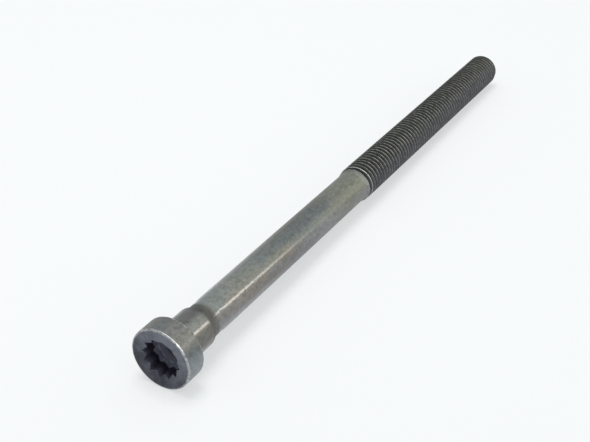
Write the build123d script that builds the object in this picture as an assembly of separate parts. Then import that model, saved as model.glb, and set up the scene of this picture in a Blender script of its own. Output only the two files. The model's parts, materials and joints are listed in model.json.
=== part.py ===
from build123d import *
import os
from math import atan2, cos, degrees, radians, sin, sqrt, tan

# Cylinder head bolt with a round head and a twelve-point drive socket, forged and turned as one piece.
# Millimetres, +Z up. The bolt lies as it comes to rest on a flat surface, on its head's rim and its
# thread's end, with the thread's end towards +X. The origin is on that surface, under the middle.

# Head
head_diameter = 14.9
head_height = 5.4
head_front_edge = 0.35
head_bearing_edge = 0.4
under_head_fillet = 0.8

# Guide shoulder under the head, and the waist behind it
shoulder_diameter = 9.9
shoulder_length = 7.8
shoulder_edge = 2.5
waist_diameter = 8.5
waist_entry_length = 1.2
waist_length = 2.9
waist_exit_length = 1.6
waist_fillet = 2.2

# Reduced shank that stretches when the bolt is tightened
shank_diameter = 8.8
shank_end_from_head = 79.2

# M10 x 1.5 rolled thread, over its crests
thread_diameter = 9.85
thread_pitch = 1.5
thread_run_out_length = 2.0
tip_cone_length = 1.5
tip_edge = 0.3
length_under_head = 173.2

# Twelve-point drive socket: three squares turned by 30 degrees
socket_across_points = 9.8
socket_squares = 3
socket_depth = 4.8
socket_mouth_diameter = 10.0
socket_mouth_angle = 60.0
socket_bottom_angle = 59.0

# How far the bolt is rolled about its own axis as it lies, from the turn that its socket is drawn at
roll_as_it_lies = 142.5

# The share of the pitch by which an ISO thread's root lies below its crest
thread_depth_to_pitch = 0.6134

head_radius = head_diameter / 2
shoulder_radius = shoulder_diameter / 2
waist_radius = waist_diameter / 2
shank_radius = shank_diameter / 2
thread_radius = thread_diameter / 2
tip_radius = thread_radius - thread_depth_to_pitch * thread_pitch

# Stations along the axis, from the face of the head
shoulder_end = head_height + shoulder_length
waist_start = shoulder_end + waist_entry_length
waist_end = waist_start + waist_length
shank_start = waist_end + waist_exit_length
shank_end = head_height + shank_end_from_head
thread_start = shank_end + thread_run_out_length
tip_end = head_height + length_under_head
thread_end = tip_end - tip_cone_length


def corner(outline, station, radius):
    """The corner of the outline that is drawn at that station and radius."""
    return outline.vertices().sort_by_distance((station, radius))[0]


def blank():
    """The turned form, from the head to the tip, about the X axis."""
    outline = make_face(
        Polyline(
            (0, 0),
            (0, head_radius),
            (head_height, head_radius),
            (head_height, shoulder_radius),
            (shoulder_end, shoulder_radius),
            (waist_start, waist_radius),
            (waist_end, waist_radius),
            (shank_start, shank_radius),
            (shank_end, shank_radius),
            (thread_start, thread_radius),
            (thread_end, thread_radius),
            (tip_end, tip_radius),
            (tip_end, 0),
            close=True,
        )
    )
    outline = fillet(corner(outline, 0, head_radius), head_front_edge)
    outline = fillet(corner(outline, head_height, head_radius), head_bearing_edge)
    outline = fillet(corner(outline, head_height, shoulder_radius), under_head_fillet)
    outline = fillet(corner(outline, shoulder_end, shoulder_radius), shoulder_edge)
    outline = fillet(corner(outline, waist_start, waist_radius), waist_fillet)
    outline = fillet(corner(outline, waist_end, waist_radius), waist_fillet)
    outline = fillet(corner(outline, tip_end, tip_radius), tip_edge)
    return revolve(outline, Axis.X)


def drive_socket():
    """The punched hollow: a star of squares, a cone at its bottom and a wider cone at its mouth."""
    square_side = socket_across_points / sqrt(2)
    turn_step = 90 / socket_squares
    star = Sketch() + [
        Plane.YZ * Rectangle(square_side, square_side, rotation=turn_step * number)
        for number in range(socket_squares)
    ]
    flutes = extrude(star, socket_depth, dir=(1, 0, 0))

    # Between two points, the star's inner corners lie on a circle that the bottom cone starts from
    half_step = radians(turn_step / 2)
    inner_radius = socket_across_points / 2 / (cos(half_step) + sin(half_step))
    bottom_end = socket_depth + inner_radius / tan(radians(socket_bottom_angle))
    bottom = revolve(
        make_face(Polyline((0, 0), (0, inner_radius), (socket_depth, inner_radius), (bottom_end, 0), close=True)),
        Axis.X,
    )

    mouth_radius = socket_mouth_diameter / 2
    mouth_end = mouth_radius / tan(radians(socket_mouth_angle))
    mouth = revolve(make_face(Polyline((0, 0), (0, mouth_radius), (mouth_end, 0), close=True)), Axis.X)
    return flutes + bottom + mouth


def resting_place(bolt):
    """Where the bolt lies once the head's rim and the thread's end touch the surface."""
    rim_station = head_height - head_bearing_edge
    sink = Rot(0, degrees(atan2(head_radius - thread_radius, thread_end - rim_station)), 0)
    lie = sink * Rot(roll_as_it_lies, 0, 0)
    box = (lie * bolt).bounding_box()
    return Pos(-box.center().X, -box.center().Y, -box.min.Z) * lie


bolt_on_axis = blank() - drive_socket()
bolt = resting_place(bolt_on_axis) * bolt_on_axis
bolt.label = "bolt"

os.makedirs("parts", exist_ok=True)
export_step(bolt, "parts/bolt.step")
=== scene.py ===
import json
from math import hypot, pi, radians, tan

import bmesh
import bpy
from mathutils import Matrix, Vector


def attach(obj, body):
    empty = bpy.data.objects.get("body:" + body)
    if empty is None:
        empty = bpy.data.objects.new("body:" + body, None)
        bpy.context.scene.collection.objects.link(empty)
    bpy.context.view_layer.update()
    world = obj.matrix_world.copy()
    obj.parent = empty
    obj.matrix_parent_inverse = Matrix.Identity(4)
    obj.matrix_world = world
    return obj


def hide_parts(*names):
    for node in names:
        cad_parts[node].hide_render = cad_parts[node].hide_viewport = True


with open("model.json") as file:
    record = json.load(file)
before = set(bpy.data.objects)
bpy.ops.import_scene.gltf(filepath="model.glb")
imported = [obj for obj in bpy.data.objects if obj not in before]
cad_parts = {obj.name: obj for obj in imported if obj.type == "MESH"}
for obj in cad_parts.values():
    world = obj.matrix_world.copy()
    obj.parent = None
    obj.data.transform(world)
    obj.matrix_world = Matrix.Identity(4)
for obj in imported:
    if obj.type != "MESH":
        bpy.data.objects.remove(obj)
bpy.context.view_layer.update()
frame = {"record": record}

# The bolt's blank
# One bar of steel, its head upset in a die, then the shoulder that centres it in the cylinder head, the
# waist and the thinner shank turned down. It is modelled with its head's face at the origin and its axis
# along +X, from a disc that is drawn out station by station and whose rings are then rounded.
mm = 0.001
turned_sides = 96
head_radius = 7.45 * mm
head_height = 5.4 * mm
head_front_edge = 0.35 * mm
head_bearing_edge = 0.4 * mm
under_head_fillet = 0.8 * mm
shoulder_radius = 4.95 * mm
shoulder_end = 13.2 * mm
shoulder_edge = 2.5 * mm
waist_radius = 4.25 * mm
waist_start = 14.4 * mm
waist_end = 17.3 * mm
waist_fillet = 2.2 * mm
shank_radius = 4.4 * mm
shank_start = 18.9 * mm
shank_end = 84.6 * mm
square_turn = radians(90)
waist_entry_turn = radians(30.26)
waist_exit_turn = radians(5.36)
close_by = 0.002 * mm


def select_only(piece):
    """Selects one piece and makes it the active one, so that the next operator acts on it alone."""
    bpy.ops.object.select_all(action="DESELECT")
    piece.select_set(True)
    bpy.context.view_layer.objects.active = piece


def select_where(piece, kind, chosen):
    """Selects the corners, edges or faces of a piece in edit mode that a test picks."""
    mesh = bmesh.from_edit_mesh(piece.data)
    bpy.ops.mesh.select_all(action="DESELECT")
    parts = {"corners": mesh.verts, "edges": mesh.edges, "faces": mesh.faces}
    for part in parts[kind]:
        if chosen(part):
            part.select = True
    mesh.select_flush_mode()
    bmesh.update_edit_mesh(piece.data)


def add_disc(name, station, radius, sides):
    """A filled disc across the X axis, in edit mode and selected all over."""
    bpy.ops.object.select_all(action="DESELECT")
    across_x = (0, pi / 2, 0)
    bpy.ops.mesh.primitive_circle_add(vertices=sides, radius=radius, fill_type="NGON", rotation=across_x)
    disc = bpy.context.active_object
    disc.name = name
    bpy.ops.object.transform_apply(location=True, rotation=True, scale=True)
    bpy.ops.object.mode_set(mode="EDIT")
    bpy.ops.mesh.select_all(action="SELECT")
    bpy.ops.transform.translate(value=(station, 0, 0))
    return disc


def draw_out(rings, station, radius):
    """Extrudes the selected face through each ring, given as its station and radius."""
    for next_station, next_radius in rings:
        bpy.ops.mesh.extrude_region_move(TRANSFORM_OT_translate={"value": (next_station - station, 0, 0)})
        across = next_radius / radius
        bpy.ops.transform.resize(value=(1, across, across), center_override=(next_station, 0, 0))
        station, radius = next_station, next_radius


def at_station(part, station):
    """True where an edge or a face lies at one station with all its corners."""
    return all(abs(corner.co.x - station) < close_by for corner in part.verts)


def from_axis(corner):
    """How far a corner lies from the bolt's axis."""
    return hypot(corner.co.y, corner.co.z)


def select_ring(piece, station, radius):
    """Selects the edges that run round the axis at one station and radius."""

    def on_ring(edge):
        return at_station(edge, station) and all(abs(from_axis(v) - radius) < close_by for v in edge.verts)

    select_where(piece, "edges", on_ring)


def round_ring(piece, station, radius, fillet, turn, segments):
    """Rounds the edge at one station and radius, where the outline turns by that angle."""
    select_ring(piece, station, radius)
    reach = fillet * tan(turn / 2)
    bpy.ops.mesh.bevel(offset=reach, segments=segments, affect="EDGES", offset_type="OFFSET")


blank_rings = (
    (head_height, head_radius),
    (head_height, shoulder_radius),
    (shoulder_end, shoulder_radius),
    (waist_start, waist_radius),
    (waist_end, waist_radius),
    (shank_start, shank_radius),
    (shank_end, shank_radius),
)
bolt = add_disc("bolt_steel", 0, head_radius, turned_sides)
draw_out(blank_rings, 0, head_radius)
bpy.ops.mesh.select_all(action="SELECT")
bpy.ops.mesh.normals_make_consistent(inside=False)
round_ring(bolt, 0, head_radius, head_front_edge, square_turn, segments=6)
round_ring(bolt, head_height, head_radius, head_bearing_edge, square_turn, segments=6)
round_ring(bolt, head_height, shoulder_radius, under_head_fillet, square_turn, segments=6)
round_ring(bolt, shoulder_end, shoulder_radius, shoulder_edge, waist_entry_turn, segments=7)
round_ring(bolt, waist_start, waist_radius, waist_fillet, waist_entry_turn, segments=7)
round_ring(bolt, waist_end, waist_radius, waist_fillet, waist_exit_turn, segments=2)
bpy.ops.object.mode_set(mode="OBJECT")

# The drive socket
# A punch presses a twelve-point star, three squares turned by thirty degrees, into the head's face. Its
# mouth is countersunk to guide the bit, and its bottom is a shallow cone. The star and the mouth are
# modelled as the punch and the countersink, and cut from the blank.
socket_points = 12
half_step = pi / socket_points
point_radius = 4.9 * mm
inner_radius = 4.001 * mm
socket_depth = 4.8 * mm
socket_turn = radians(7.5)
bottom_ledge = 0.02 * mm
bottom_angle = radians(59)
mouth_radius = 5.0 * mm
mouth_slope = tan(radians(60))
punch_start = -1.0 * mm


def between_points(corner):
    """True for every second corner of the punch's disc."""
    place = Vector((corner.co.y, corner.co.z)).angle_signed(Vector((1, 0)))
    return round(place / half_step) % 2 == 1


def close_to_point(piece):
    """Closes the selected end to a point on the axis, and turns the faces outwards."""
    bpy.ops.mesh.merge(type="CENTER")
    bpy.ops.mesh.select_all(action="SELECT")
    bpy.ops.mesh.normals_make_consistent(inside=False)
    bpy.ops.object.mode_set(mode="OBJECT")


def cut(piece, tool):
    """Cuts the tool's shape out of the piece and removes the tool."""
    select_only(piece)
    bpy.ops.object.modifier_add(type="BOOLEAN")
    cutting = piece.modifiers[-1]
    cutting.operation = "DIFFERENCE"
    cutting.solver = "EXACT"
    cutting.object = tool
    bpy.ops.object.modifier_apply(modifier=cutting.name)
    bpy.data.objects.remove(tool)


punch = add_disc("punch", punch_start, point_radius, 2 * socket_points)
select_where(punch, "corners", between_points)
drawn_in = inner_radius / point_radius
bpy.ops.transform.resize(value=(1, drawn_in, drawn_in), center_override=(punch_start, 0, 0))
bpy.ops.mesh.select_all(action="SELECT")
bpy.ops.mesh.extrude_region_move(TRANSFORM_OT_translate={"value": (socket_depth - punch_start, 0, 0)})

# The star's end is drawn in to a round ledge, and the bottom cone starts from there
bpy.ops.mesh.extrude_region_move(TRANSFORM_OT_translate={"value": (0, 0, 0)})
ledge_radius = inner_radius - bottom_ledge
mesh = bmesh.from_edit_mesh(punch.data)
for corner in mesh.verts:
    if corner.select:
        inward = ledge_radius / from_axis(corner)
        corner.co.y *= inward
        corner.co.z *= inward
bmesh.update_edit_mesh(punch.data)
bottom_rise = ledge_radius / tan(bottom_angle)
bpy.ops.mesh.extrude_region_move(TRANSFORM_OT_translate={"value": (bottom_rise, 0, 0)})
close_to_point(punch)
punch.data.transform(Matrix.Rotation(socket_turn, 4, "X"))
cut(bolt, punch)

countersink = add_disc("countersink", punch_start, mouth_radius - punch_start * mouth_slope, turned_sides)
mouth_rise = mouth_radius / mouth_slope - punch_start
bpy.ops.mesh.extrude_region_move(TRANSFORM_OT_translate={"value": (mouth_rise, 0, 0)})
close_to_point(countersink)
cut(bolt, countersink)

# The rolled thread
# Two dies roll an M10 by 1.5 right-hand thread on the shank's end, so its crests stand out over the shank
# and its rounded roots lie below it. One turn's outline is drawn and screwed along the axis, trimmed at
# both ends, run out into the shank and chamfered by the cone of the tip.
pitch = 1.5 * mm
crest_radius = 4.925 * mm
run_out_length = 2.0 * mm
run_out_end = shank_end + run_out_length
groove_run_out = 0.6 * mm
groove_start = run_out_end - groove_run_out
first_groove = 86.545 * mm
tip_end = 178.6 * mm
tip_cone_length = 1.5 * mm
tip_cone_start = tip_end - tip_cone_length
tip_radius = 4.005 * mm
tip_edge = 0.3 * mm
tip_edge_cuts = (0.25 * mm, 0.12 * mm, 0.04 * mm)
cut_nearness = 0.0001 * mm
bridge_length = 0.1 * mm
sharp_angle = radians(32)
steps_a_turn = 72
spare_turns = 3
first_station = first_groove - pitch / 2 - spare_turns * pitch
thread_turns = int((tip_end - first_station) / pitch) + spare_turns

# One turn's outline in millimetres, along the axis and up from the crest: down the flank into the round
# root, the same way up on the other side, and over the next crest
pitch_mm = pitch / mm
crest_end = (0.05, 0.0)
crest_edge = (0.11, -0.05)
flank_middle = (0.335, -0.43)
root_start = (0.5625, -0.812)
root_curve = (0.642, -0.891)
root_bottom = (0.75, -0.92)
way_down = [crest_end, crest_edge, flank_middle, root_start, root_curve]
way_up = [(pitch_mm - station, height) for station, height in reversed(way_down)]
next_crest_end = (pitch_mm + crest_end[0], crest_end[1])
thread_outline = [*way_down, root_bottom, *way_up, next_crest_end]

bpy.ops.object.select_all(action="DESELECT")
bpy.ops.mesh.primitive_plane_add(size=pitch)
thread = bpy.context.active_object
thread.name = "thread"
bpy.ops.object.mode_set(mode="EDIT")
bpy.ops.mesh.select_all(action="SELECT")
bpy.ops.mesh.merge(type="CENTER")
station, height = thread_outline[0]
bpy.ops.transform.translate(value=(first_station + station * mm, 0, crest_radius + height * mm))
for next_station, next_height in thread_outline[1:]:
    step = ((next_station - station) * mm, 0, (next_height - height) * mm)
    bpy.ops.mesh.extrude_region_move(TRANSFORM_OT_translate={"value": step})
    station, height = next_station, next_height
bpy.ops.object.mode_set(mode="OBJECT")
bpy.ops.object.modifier_add(type="SCREW")
screwing = thread.modifiers[-1]
screwing.axis = "X"
screwing.angle = 2 * pi
screwing.screw_offset = pitch
screwing.iterations = thread_turns
screwing.steps = steps_a_turn
screwing.render_steps = steps_a_turn
bpy.ops.object.modifier_apply(modifier=screwing.name)
bpy.ops.object.mode_set(mode="EDIT")
bpy.ops.mesh.select_all(action="SELECT")
bpy.ops.mesh.remove_doubles(threshold=close_by)


def trim(station, clear_before=False, clear_after=False):
    """Cuts the thread across the axis, and drops what lies before or after the cut."""
    bpy.ops.mesh.select_all(action="SELECT")
    bpy.ops.mesh.bisect(
        plane_co=(station, 0, 0),
        plane_no=(1, 0, 0),
        clear_inner=clear_before,
        clear_outer=clear_after,
        threshold=cut_nearness,
    )


def tip_outline(station):
    """The radius of the tip's cone, with its end's edge rounded off."""
    past = max(0.0, (station - tip_cone_start) / (tip_end - tip_cone_start))
    cone = crest_radius + past * (tip_radius - crest_radius)
    into_edge = min(tip_edge, max(0.0, tip_edge - (tip_end - station)))
    return cone - tip_edge + (tip_edge ** 2 - into_edge ** 2) ** 0.5


def smooth_step(value, start, end):
    """Rises smoothly from 0 to 1 between two values."""
    share = min(1.0, max(0.0, (value - start) / (end - start)))
    return share * share * (3 - 2 * share)


trim(shank_end, clear_before=True)
trim(tip_end, clear_after=True)
for before_end in tip_edge_cuts:
    trim(tip_end - before_end)

mesh = bmesh.from_edit_mesh(thread.data)
for corner in mesh.verts:
    radius = from_axis(corner)
    rise = min(1.0, (corner.co.x - shank_end) / (run_out_end - shank_end))
    cone = shank_radius + rise * (crest_radius - shank_radius)
    depth = (crest_radius - radius) * smooth_step(corner.co.x, groove_start, run_out_end)
    wanted = min(cone - depth, tip_outline(corner.co.x))
    corner.co.y *= wanted / radius
    corner.co.z *= wanted / radius
bmesh.update_edit_mesh(thread.data)
bpy.ops.mesh.select_all(action="SELECT")
bpy.ops.mesh.remove_doubles(threshold=close_by)
select_where(thread, "edges", lambda edge: edge.is_boundary and at_station(edge, tip_end))
bpy.ops.mesh.edge_face_add()
bpy.ops.object.mode_set(mode="OBJECT")

# The blank and its thread are one bar: the blank's end face goes, and the two rings are bridged
select_only(bolt)
bpy.ops.object.mode_set(mode="EDIT")
select_where(bolt, "faces", lambda face: at_station(face, shank_end))
bpy.ops.mesh.delete(type="ONLY_FACE")
select_ring(bolt, shank_end, shank_radius)
bpy.ops.transform.translate(value=(-bridge_length, 0, 0))
bpy.ops.object.mode_set(mode="OBJECT")
thread.select_set(True)
bpy.ops.object.join()
bpy.ops.object.mode_set(mode="EDIT")
select_where(bolt, "edges", lambda edge: edge.is_boundary)
bpy.ops.mesh.bridge_edge_loops()
bpy.ops.mesh.select_all(action="SELECT")
bpy.ops.mesh.normals_make_consistent(inside=False)
bpy.ops.object.mode_set(mode="OBJECT")
bpy.ops.object.shade_smooth_by_angle(angle=sharp_angle)
select_only(bolt)
bpy.ops.object.modifier_add(type="WEIGHTED_NORMAL")
weighting = bolt.modifiers[-1]
weighting.keep_sharp = True
bpy.ops.object.modifier_apply(modifier=weighting.name)

# The bolt is laid where it rests, on its head's rim and its thread's end, as the record's socket mount says
mounts = {mount["name"]: mount for mount in frame["record"]["mounts"]}
face_centre = Vector(mounts["drive_socket"]["pos_m"])
along = -Vector(mounts["drive_socket"]["axis"])
sink = along.angle(Vector((1, 0, 0)))
bolt.matrix_world = Matrix.Translation(face_centre) @ Matrix.Rotation(sink, 4, "Y")
bpy.ops.object.transform_apply(location=True, rotation=True, scale=True)

# The steel's finish
# Heat-treated steel that has darkened in service, under a thin film of oil. It is grey-green along the
# shank, browner where oil has stained it, near black in the thread's roots from dirt and painted shade, and
# worn bright on its edges. Its colour also holds painted shade, painted floor reflections and highlights.
steel = bpy.data.materials.new("worn_steel")
steel.use_nodes = True
tree = steel.node_tree
shader = tree.nodes["Principled BSDF"]


def add_node(kind, sources=None, **settings):
    """Adds a node to the tree in hand, and feeds its inputs from values or from other nodes."""
    node = tree.nodes.new(kind)
    for name, value in settings.items():
        setattr(node, name, value)
    for name, source in (sources or {}).items():
        if isinstance(source, bpy.types.NodeSocket):
            tree.links.new(source, node.inputs[name])
        else:
            node.inputs[name].default_value = source
    return node


def maths(operation, first, second, clamp=False):
    """One step of arithmetic, as a value that other nodes can read."""
    return add_node("ShaderNodeMath", {0: first, 1: second}, operation=operation, use_clamp=clamp).outputs[0]


def product(first, *others):
    """Several values multiplied together."""
    for other in others:
        first = maths("MULTIPLY", first, other)
    return first


def total(first, *others):
    """Several values added up."""
    for other in others:
        first = maths("ADD", first, other)
    return first


def on_vectors(operation, sources, result="Vector"):
    """One step of arithmetic on places, directions or colours."""
    return add_node("ShaderNodeVectorMath", sources, operation=operation).outputs[result]


def between(value, start, end, low=0.0, high=1.0):
    """Goes smoothly from low to high while the value goes from start to end."""
    node = add_node(
        "ShaderNodeMapRange",
        {"Value": value, "From Min": start, "From Max": end, "To Min": low, "To Max": high},
        interpolation_type="SMOOTHSTEP",
    )
    return node.outputs["Result"]


def by_share(share, none, full):
    """Goes smoothly from one value to another while a share goes from 0 to 1."""
    return between(share, 0.0, 1.0, none, full)


def mottle(place, scale=1.0, detail=3.0, roughness=0.55, distortion=0.0):
    """Soft blotches, so many to the unit, from 0 to 1."""
    node = add_node(
        "ShaderNodeTexNoise",
        {"Vector": place, "Scale": scale, "Detail": detail, "Roughness": roughness, "Distortion": distortion},
    )
    return node.outputs["Fac"]


def stretched(place, scale, moved=(0, 0, 0)):
    """The place with its three directions scaled, so that a pattern on it runs in streaks."""
    node = add_node("ShaderNodeMapping", {"Vector": place, "Location": moved, "Scale": scale})
    return node.outputs["Vector"]


def tint(share, under, over):
    """Lays one colour over another by a share. A Mix node's colours are its inputs 6 and 7 and output 2."""
    return add_node("ShaderNodeMix", {"Factor": share, 6: under, 7: over}, data_type="RGBA").outputs[2]


def rgb(red, green, blue):
    """A colour as a shader takes it."""
    return (red, green, blue, 1.0)


# The place on the bolt in millimetres: X is the station from the head's face, Y and Z lie across the axis
object_place = add_node("ShaderNodeTexCoord").outputs["Object"]
undo_place = Matrix.Rotation(-sink, 4, "Y") @ (-face_centre / mm)
to_mm = (1 / mm, 1 / mm, 1 / mm)
on_bolt = add_node(
    "ShaderNodeMapping",
    {"Vector": object_place, "Location": undo_place, "Rotation": (0, -sink, 0), "Scale": to_mm},
).outputs["Vector"]
station_mm = add_node("ShaderNodeSeparateXYZ", {"Vector": on_bolt}).outputs["X"]
across = on_vectors("MULTIPLY", {0: on_bolt, 1: (0, 1, 1)})
radius_mm = on_vectors("LENGTH", {0: across}, "Value")
outwards = on_vectors("NORMALIZE", {0: across})


def along_bolt(start, end, low=0.0, high=1.0):
    """Goes smoothly from low to high between two stations, in millimetres from the head's face."""
    return between(station_mm, start, end, low, high)


def from_middle(start, end):
    """Goes smoothly from 0 to 1 between two radii, in millimetres from the axis."""
    return between(radius_mm, start, end)


def facing(side, start, end):
    """Goes smoothly from 0 to 1 as the surface turns towards a side of the bolt, where 1 is square to it."""
    return between(on_vectors("DOT_PRODUCT", {0: outwards, 1: side}, "Value"), start, end)


# Blotches of the heat treatment, a few millimetres to a few centimetres long
broad = mottle(stretched(on_bolt, (0.035, 0.12, 0.12)), detail=2.0)
patches_place = stretched(on_bolt, (0.09, 0.28, 0.28), moved=(3, 7, 1))
patches = mottle(patches_place, detail=4.0, roughness=0.6, distortion=0.4)
specks = mottle(on_bolt, scale=1.1, detail=5.0, roughness=0.65)
grain = mottle(on_bolt, scale=4.5, roughness=0.6)
streaks = mottle(stretched(on_bolt, (0.12, 1.1, 1.1), moved=(11, 2, 5)), roughness=0.6)

# Nearly all values of the noise lie in the first range, and the second gives blotches with soft edges
noise_range = (0.3, 0.7)
blotch_edges = (0.35, 0.65)
grey_green = rgb(0.130, 0.152, 0.146)
grey_olive = rgb(0.158, 0.160, 0.136)
grey_blue = rgb(0.112, 0.134, 0.146)
olive_blotches = (0.38, 0.62)
blue_blotches = (0.45, 0.68)
blue_share = 0.6
colour = tint(between(broad, *olive_blotches), grey_green, grey_olive)
colour = tint(product(between(patches, *blue_blotches), blue_share), colour, grey_blue)

# The shank's upper side is painted slate-grey as shade, darker and bluer, from partway along it
upper_side = (0.0, -0.10, 0.99)
painted_shade_slate = rgb(0.100, 0.113, 0.118)
painted_shade_side = (0.84, 0.96)
painted_shade_start = (30.0, 46.0)
painted_shade_share = 0.75
colour = tint(product(facing(upper_side, *painted_shade_side), along_bolt(*painted_shade_start), painted_shade_share), colour, painted_shade_slate)

# Its lower side is painted pale as a reflection of the white floor, and more so towards the thread
lower_side = (0.0, -0.98, -0.17)
floor_reflection_lilac = rgb(0.170, 0.174, 0.192)
floor_reflection_grey = rgb(0.235, 0.236, 0.243)
paler_from = (40.0, 66.0)
floor_reflection_side = (0.55, 0.98)
floor_reflection_share = 0.85
floor_reflection_colour = tint(along_bolt(*paler_from), floor_reflection_lilac, floor_reflection_grey)
colour = tint(product(facing(lower_side, *floor_reflection_side), floor_reflection_share), colour, floor_reflection_colour)

# Oil that drained along one side has left a brown stain in streaks
drained_side = (0.0, -0.93, 0.37)
oil_brown = rgb(0.168, 0.149, 0.124)
stain_side = (0.80, 0.97)
stain_streaks = (0.36, 0.60)
stain_end = (60.0, 40.0)
stain_share = 0.85
stained = product(facing(drained_side, *stain_side), between(streaks, *stain_streaks))
colour = tint(product(stained, along_bolt(*stain_end), stain_share), colour, oil_brown)

# The shoulder is painted near black as shade on its far side, and is darker and brown below
far_side = (0.0, 0.50, 0.87)
shoulder_shade_black = rgb(0.042, 0.044, 0.047)
shoulder_grey = rgb(0.066, 0.063, 0.059)
shoulder_brown = rgb(0.060, 0.056, 0.040)
shoulder_fade = (15.2, 13.4)
far_shade_side = (0.50, 0.86)
far_shade_shares = (0.04, 0.92)
brown_side = (0.62, 0.80)
brown_share = 0.5
on_shoulder = along_bolt(*shoulder_fade)
shoulder_shade_colour = tint(between(patches, *blotch_edges), shoulder_shade_black, shoulder_grey)
far_side_painted_shade = product(on_shoulder, by_share(facing(far_side, *far_shade_side), *far_shade_shares))
colour = tint(far_side_painted_shade, colour, shoulder_shade_colour)
browned = product(on_shoulder, facing(lower_side, *brown_side), brown_share)
colour = tint(browned, colour, shoulder_brown)

# The shank's end by the thread is yellower, and less so below
straw_grey = rgb(0.171, 0.175, 0.144)
straw_start = (62.0, 76.0)
straw_end = (86.0, 84.0)
straw_streaks = (0.2, 0.6, 0.55, 0.95)
straw_side = (1.0, 0.75)
straw_shares = (0.35, 1.0)
yellowing = product(along_bolt(*straw_start), along_bolt(*straw_end), between(streaks, *straw_streaks))
yellowing = product(yellowing, by_share(facing(lower_side, *straw_side), *straw_shares))
colour = tint(yellowing, colour, straw_grey)

# Dirt and painted shade darken the groove round the waist, least on the lower side
dirt_and_shade_grey = rgb(0.044, 0.044, 0.042)
waist_dark_start = (11.9, 13.6)
waist_dark_end = (16.8, 15.1)
waist_dark_specks = (0.2, 0.6, 0.65, 1.0)
less_dark_side = (0.50, 0.90)
dirt_and_shade_shares = (0.58, 0.20)
waist_dirt_and_shade = product(along_bolt(*waist_dark_start), along_bolt(*waist_dark_end), between(specks, *waist_dark_specks))
dirt_and_shade_share = by_share(facing(lower_side, *less_dark_side), *dirt_and_shade_shares)
colour = tint(product(waist_dirt_and_shade, dirt_and_shade_share), colour, dirt_and_shade_grey)

# Forge scale mottles the head; a warm band on its upper side is a painted sheen, and a pale blue one
# below is a painted reflection of the floor
scale_green = rgb(0.114, 0.129, 0.132)
scale_olive = rgb(0.136, 0.138, 0.134)
sheen_warm_grey = rgb(0.156, 0.152, 0.137)
floor_reflection_blue = rgb(0.222, 0.246, 0.260)
head_end = (6.2, 5.2)
sheen_side = (0.50, 0.75)
sheen_top = (0.99, 0.88)
sheen_share = 0.7
floor_reflection_blue_side = (0.78, 1.0)
on_head = along_bolt(*head_end)
head_colour = tint(between(patches, *blotch_edges), scale_green, scale_olive)
painted_sheen_band = product(facing(upper_side, *sheen_side), facing(upper_side, *sheen_top), sheen_share)
head_colour = tint(painted_sheen_band, head_colour, sheen_warm_grey)
head_colour = tint(facing(lower_side, *floor_reflection_blue_side), head_colour, floor_reflection_blue)
colour = tint(on_head, colour, head_colour)

# The face of the head and the countersink hold a blue-grey scale, painted dark as shade for the dim room
# that they face, and paler towards one side
face_painted_shade = rgb(0.036, 0.041, 0.054)
face_pale = rgb(0.165, 0.178, 0.208)
face_skin = (0.16, 0.03)
countersink_reach = (5.20, 5.05)
countersink_end = (5.4, 5.2)
paler_face_side = (0.0, -0.50, 0.87)
paler_face_tones = (-5.5, 6.5, 0.10, 0.94)
blotch_tones = (-0.2, 0.3)
on_face = maths("MAXIMUM", along_bolt(*face_skin), from_middle(*countersink_reach))
on_face = product(on_face, along_bolt(*countersink_end))
paler_face = between(on_vectors("DOT_PRODUCT", {0: across, 1: paler_face_side}, "Value"), *paler_face_tones)
face_tone = maths("ADD", paler_face, between(patches, *noise_range, *blotch_tones), clamp=True)
colour = tint(on_face, colour, tint(face_tone, face_painted_shade, face_pale))

# The socket's light and shade are painted: its walls are dark as shade, bright at their foot as light thrown
# back from the bottom, and its bottom is pale as light falling in through the mouth and dark again deeper in
wall_painted_shade = rgb(0.052, 0.048, 0.072)
wall_painted_light = rgb(0.410, 0.420, 0.495)
bottom_painted_light = rgb(0.172, 0.178, 0.218)
bottom_painted_shade = rgb(0.085, 0.087, 0.110)
star_reach = (5.2, 4.95)
star_end = (5.25, 5.05)
cone_reach = (4.15, 4.05)
cone_end = (9.0, 8.0)
mouth_fade = (0.03, 0.12)
wall_painted_light_start = (3.3, 3.75)
wall_foot = (4.74, 4.86)
bottom_fade = (5.20, 5.60)
in_star = product(from_middle(*star_reach), along_bolt(*star_end))
in_cone = product(from_middle(*cone_reach), along_bolt(*cone_end))
mouth_station = product(maths("SUBTRACT", mouth_radius / mm, radius_mm), 1 / mouth_slope)
below_mouth = between(maths("SUBTRACT", station_mm, mouth_station), *mouth_fade)
in_socket = product(maths("MAXIMUM", in_star, in_cone), below_mouth)
wall_colour = tint(along_bolt(*wall_painted_light_start), wall_painted_shade, wall_painted_light)
bottom_colour = tint(along_bolt(*bottom_fade), bottom_painted_light, bottom_painted_shade)
colour = tint(in_socket, colour, tint(along_bolt(*wall_foot), wall_colour, bottom_colour))

# The thread is dark from oil, dirt and painted shade, blackest in its roots, and its lower side is painted
# pale as a reflection of the floor
thread_reflection_side = (0.0, -0.93, -0.36)
thread_dirt_and_shade = rgb(0.036, 0.038, 0.034)
thread_floor_reflection = rgb(0.094, 0.094, 0.100)
thread_side = (0.1, 1.0)
thread_start = (85.9, 86.5)
root_dirt_and_shade_black = rgb(0.012, 0.012, 0.012)
root_reach = (4.60, 4.15)
root_dirt_and_shade_end = (178.5, 178.0)
on_thread = along_bolt(*thread_start)
thread_colour = tint(facing(thread_reflection_side, *thread_side), thread_dirt_and_shade, thread_floor_reflection)
root_dirt_and_shade = product(from_middle(*root_reach), along_bolt(*root_dirt_and_shade_end))
thread_colour = tint(root_dirt_and_shade, thread_colour, root_dirt_and_shade_black)

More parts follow.
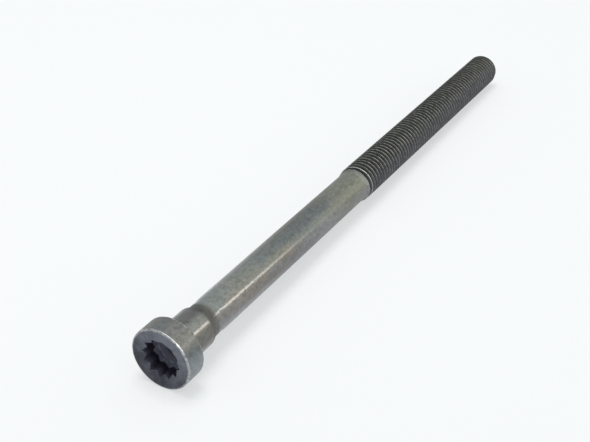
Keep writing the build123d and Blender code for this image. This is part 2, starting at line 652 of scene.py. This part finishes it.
# Its crests are rubbed bright and also carry a painted highlight on their upper side, most of all the first
# one
crest_highlight_side = (0.0, 0.2, 0.98)
crest_grey = rgb(0.19, 0.19, 0.19)
crest_highlight = rgb(0.25, 0.25, 0.238)
crest_side = (0.2, 0.9)
crest_reach = (4.82, 4.91)
crest_specks = (0.30, 0.65, 0.25, 1.0)
crest_shares_along = (150.0, 100.0, 0.60, 1.0)
crest_wear_and_highlight = product(from_middle(*crest_reach), between(specks, *crest_specks), along_bolt(*crest_shares_along))
crest_colour = tint(facing(crest_highlight_side, *crest_side), crest_grey, crest_highlight)
thread_colour = tint(crest_wear_and_highlight, thread_colour, crest_colour)

first_crest_highlight = rgb(0.38, 0.38, 0.36)
first_crest_reach = (4.78, 4.88)
first_crest_start = (85.9, 86.4)
first_crest_end = (88.2, 87.4)
first_crest = product(from_middle(*first_crest_reach), along_bolt(*first_crest_end))
first_crest = product(first_crest, along_bolt(*first_crest_start))
thread_colour = tint(first_crest, thread_colour, first_crest_highlight)
colour = tint(on_thread, colour, thread_colour)

# Edges that meet a hand or a box are worn to bare metal
bare_metal = rgb(0.50, 0.50, 0.49)
bare_share = 0.65
front_rim_reach = (6.90, 7.25)
front_rim_end = (0.50, 0.20)
front_rim_specks = (0.30, 0.62, 0.35, 1.0)
back_rim_reach = (7.25, 7.40)
back_rim_start = (4.75, 5.10)
back_rim_specks = (0.40, 0.66, 0.0, 0.55)
front_rim = product(from_middle(*front_rim_reach), along_bolt(*front_rim_end))
front_rim = product(front_rim, between(specks, *front_rim_specks))
back_rim = product(from_middle(*back_rim_reach), along_bolt(*back_rim_start))
back_rim = product(back_rim, between(specks, *back_rim_specks))
worn = maths("MAXIMUM", front_rim, back_rim)
colour = tint(product(worn, bare_share), colour, bare_metal)

# The fine grain and the specks make the whole colour a little lighter or darker
darkest = 0.80
lightest = 1.20
grain_low, grain_high = noise_range
grain_light = add_node(
    "ShaderNodeMapRange",
    {"Value": grain, "From Min": grain_low, "From Max": grain_high, "To Min": darkest, "To Max": lightest},
).outputs["Result"]
lightness = product(grain_light, between(specks, *noise_range, darkest, lightest))
colour = on_vectors("SCALE", {0: colour, "Scale": lightness})
tree.links.new(colour, shader.inputs["Base Color"])

# Worn edges are smoother, and the socket and the waist's dirt are rougher
steel_roughness = (0.50, 0.66)
worn_smoother = 0.26
socket_rougher = 0.2
dirt_rougher = 0.25
roughness = between(specks, *noise_range, *steel_roughness)
roughness = maths("SUBTRACT", roughness, product(worn, worn_smoother))
roughness = total(roughness, product(in_socket, socket_rougher), product(waist_dirt_and_shade, dirt_rougher))
tree.links.new(roughness, shader.inputs["Roughness"])
steel_metal = (0.82, 0.95)
tree.links.new(between(patches, *noise_range, *steel_metal), shader.inputs["Metallic"])

# The film of oil is thick by the shoulder, and thin on the head, in the socket, on dirt and far along
oil_specks = (0.25, 0.55, 0.55, 1.0)
oil_lost_in_socket = 0.7
oil_on_thread = 0.6
oil_on_head = 0.15
oil_on_dirt = 0.10
oil_along = (58.0, 20.0, 0.10, 1.0)
oil_outside = maths("SUBTRACT", 1.0, product(in_socket, oil_lost_in_socket))
oil = product(between(specks, *oil_specks), oil_outside)
oil = product(oil, by_share(on_thread, 1.0, oil_on_thread), by_share(on_head, 1.0, oil_on_head))
oil = product(oil, along_bolt(*oil_along), by_share(waist_dirt_and_shade, 1.0, oil_on_dirt))
tree.links.new(oil, shader.inputs["Coat Weight"])
shader.inputs["Coat Roughness"].default_value = 0.11
shader.inputs["Coat IOR"].default_value = 1.5

# Turning marks run round the shank, streaks along it, and the forged skin of the head is pitted
marks = mottle(stretched(on_bolt, (7.0, 0.25, 0.25)), detail=2.0)
waves = mottle(on_bolt, scale=0.30, detail=2.0)
marks_height = 0.25
waves_height = 1.6
grain_height = 0.35
specks_height = 0.4
more_specks_on_head = 0.8
streaks_height = 0.3
relief_depth = 0.03 * mm
relief_strength = 0.6
pitting = total(product(on_head, more_specks_on_head), specks_height)
relief = total(product(marks, marks_height), product(waves, waves_height), product(grain, grain_height))
relief = total(relief, product(specks, pitting), product(streaks, streaks_height))
bump = add_node("ShaderNodeBump", {"Strength": relief_strength, "Distance": relief_depth, "Height": relief})
tree.links.new(bump.outputs["Normal"], shader.inputs["Normal"])

bolt.data.materials.clear()
bolt.data.materials.append(steel)
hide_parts("bolt")
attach(bolt, "root")

# The floor
# A sheet of plain white card under the bolt, far larger than the view. By a share it also glows white to
# the camera and in the steel's gloss, so that it looks white and the bolt's shadow on it stays pale.
floor_size = 6.0
card_white = rgb(0.945, 0.970, 0.992)
glow_white = rgb(0.985, 1.0, 1.0)
glow_share = 0.56
bpy.ops.object.select_all(action="DESELECT")
bpy.ops.mesh.primitive_plane_add(size=floor_size)
floor = bpy.context.active_object
floor.name = "floor"
card = bpy.data.materials.new("white_card")
card.use_nodes = True
tree = card.node_tree
card_shader = tree.nodes["Principled BSDF"]
card_shader.inputs["Base Color"].default_value = card_white
card_shader.inputs["Roughness"].default_value = 0.9
card_shader.inputs["Specular IOR Level"].default_value = 0.1
glow = add_node("ShaderNodeEmission", {"Color": glow_white, "Strength": 1.0})
ray = add_node("ShaderNodeLightPath")
seen = maths("MAXIMUM", ray.outputs["Is Camera Ray"], ray.outputs["Is Glossy Ray"])
seen = maths("MAXIMUM", seen, ray.outputs["Is Transmission Ray"])
card_and_glow = add_node(
    "ShaderNodeMixShader",
    {"Fac": product(seen, glow_share), 1: card_shader.outputs["BSDF"], 2: glow.outputs["Emission"]},
)
tree.links.new(card_and_glow.outputs["Shader"], tree.nodes["Material Output"].inputs["Surface"])
floor.data.materials.append(card)

# The light
# A white room, brighter in gloss than on matt surfaces, and a broad soft lamp overhead. Two windows of light
# show in gloss alone: a low one at the right draws the thin bright line along the oiled shank, and a small
# bright one at the ceiling is turned to the head.
room_white = rgb(0.95, 0.985, 1)
room_in_gloss = 0.88
room_on_matt = 0.56
world = bpy.data.worlds.new("white_room")
bpy.context.scene.world = world
world.use_nodes = True
tree = world.node_tree
room = tree.nodes["Background"]
room.inputs["Color"].default_value = room_white
on_matt = add_node("ShaderNodeLightPath").outputs["Is Diffuse Ray"]
room_strength = add_node(
    "ShaderNodeMapRange",
    {"Value": on_matt, "From Min": 0.0, "From Max": 1.0, "To Min": room_in_gloss, "To Max": room_on_matt},
)
tree.links.new(room_strength.outputs["Result"], room.inputs["Strength"])


def add_lamp(name, place, aim, length_along, length, width, radiance, colour):
    """A rectangular lamp that shines from its place to its aim, with its long side along a direction."""
    light = bpy.data.lights.new(name, "AREA")
    light.shape = "RECTANGLE"
    light.size = length
    light.size_y = width
    light.energy = radiance * pi * length * width
    light.color = colour
    lamp = bpy.data.objects.new(name, light)
    bpy.context.scene.collection.objects.link(lamp)
    back = (Vector(place) - Vector(aim)).normalized()
    side = Vector(length_along)
    side = (side - back * side.dot(back)).normalized()
    up = back.cross(side)
    lamp.matrix_world = Matrix.Translation(place) @ Matrix((side, up, back)).transposed().to_4x4()
    return lamp


add_lamp(
    "overhead_softbox",
    place=(0.0, 0.10, 0.90),
    aim=(0, 0, 0),
    length_along=(1, 0, 0),
    length=0.40,
    width=0.40,
    radiance=7.0,
    colour=(1.0, 0.985, 0.955),
)
window = add_lamp(
    "right_window",
    place=(0.83, -0.8635, 0.5135),
    aim=(-0.03, 0, 0),
    length_along=(0.4, -0.146, -0.214),
    length=0.556,
    width=0.17,
    radiance=8.5,
    colour=(1.0, 0.96, 0.90),
)
window.visible_diffuse = False
ceiling = add_lamp(
    "ceiling_window",
    place=(-0.26, -0.70, 0.81),
    aim=(-0.08, 0, 0),
    length_along=(1, 0, 0),
    length=0.22,
    width=0.22,
    radiance=80.0,
    colour=(1.0, 0.98, 0.94),
)
ceiling.visible_diffuse = False

# The camera
# It stands in front of the head's face, to one side and above, and looks down along the bolt, as in the
# photo. Its heading is counted in degrees from +X towards +Y, and its dip from the level.
camera_place = (-0.21894, -0.10932, 0.14722)
camera_heading = 30.625
camera_dip = 32.249
camera_lens = 63.49
camera_data = bpy.data.cameras.new("camera")
camera_data.lens = camera_lens
camera_data.sensor_width = 36.0
camera_data.clip_start = 0.01
camera_data.clip_end = 20.0
camera = bpy.data.objects.new("camera", camera_data)
bpy.context.scene.collection.objects.link(camera)
camera.location = camera_place
camera.rotation_euler = (radians(90 - camera_dip), 0, radians(camera_heading - 90))
bpy.context.scene.camera = camera
bpy.context.scene.view_settings.view_transform = "Standard"
